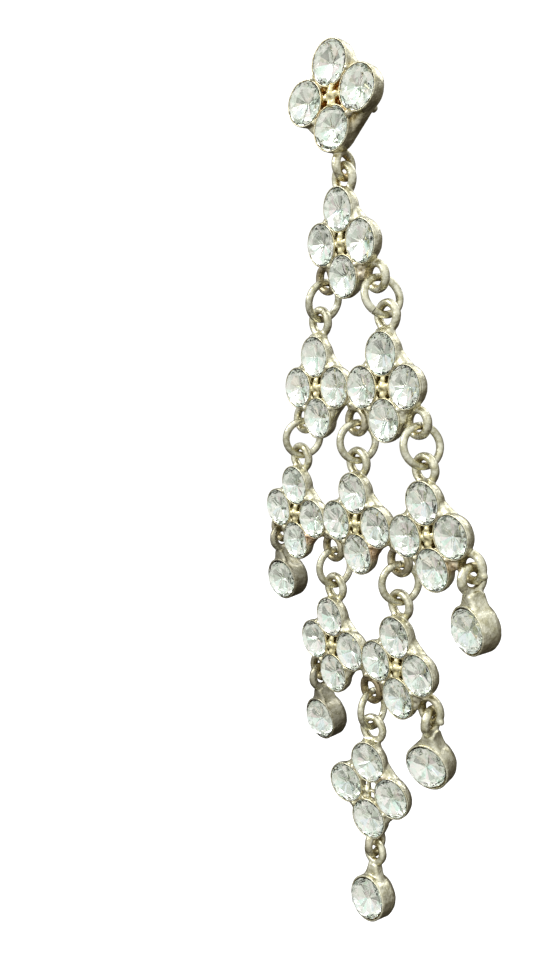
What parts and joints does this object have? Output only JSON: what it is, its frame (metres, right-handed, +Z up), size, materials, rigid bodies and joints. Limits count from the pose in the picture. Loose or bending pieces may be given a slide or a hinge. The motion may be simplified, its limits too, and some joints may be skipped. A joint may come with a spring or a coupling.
{
  "type": "chandelier earring",
  "caption": "Long pierced-ear chandelier earring: a four-stone post stud carries rows of four-stone clusters on jump rings, with small bezel drops.",
  "frame": {"origin": "where the ear post leaves the flat back of the stud", "axes": "+Z up, +Y back along the ear post, the stud's stones face -Y"},
  "size_m": [0.0327, 0.0092, 0.0885],
  "materials": {
    "cast_metal": "satin cast metal, pale silver with a warm gold cast in the recesses",
    "wire_metal": "satin round wire, pale silver with a warm cast",
    "crystal": "clear faceted foil-backed glass"
  },
  "bodies": {
    "stud": {"stud_casting": "cast_metal", "stud_stones": "crystal"},
    "main_drop": {"row1_casting": "cast_metal", "row1_stones": "crystal", "ring_row1_left": "wire_metal", "ring_row1_right": "wire_metal", "row2_casting": "cast_metal", "row2_left_stones": "crystal", "row2_right_stones": "crystal", "ring_row2_left": "wire_metal", "ring_row2_middle": "wire_metal", "ring_row2_right": "wire_metal", "row3_casting": "cast_metal", "row3_left_stones": "crystal", "row3_middle_stones": "crystal", "row3_right_stones": "crystal", "ring_row3_left": "wire_metal", "ring_row3_right": "wire_metal", "row4_casting": "cast_metal", "row4_left_stones": "crystal", "row4_right_stones": "crystal", "ring_row4_middle": "wire_metal", "row5_casting": "cast_metal", "row5_stones": "crystal", "drop_row3_left_cup": "cast_metal", "drop_row3_left_stone": "crystal", "drop_row3_right_cup": "cast_metal", "drop_row3_right_stone": "crystal", "drop_row4_left_cup": "cast_metal", "drop_row4_left_stone": "crystal", "drop_row4_right_cup": "cast_metal", "drop_row4_right_stone": "crystal", "drop_row5_cup": "cast_metal", "drop_row5_stone": "crystal"}
  },
  "joints": [
    {"name": "main_drop_swing", "type": "hinge", "parent": "stud", "child": "main_drop", "pos_m": [0.00005, -0.00025, -0.00606], "axis": [0.9805, -0.1844, -0.0676], "range_deg": [-95, 115]}
  ]
}
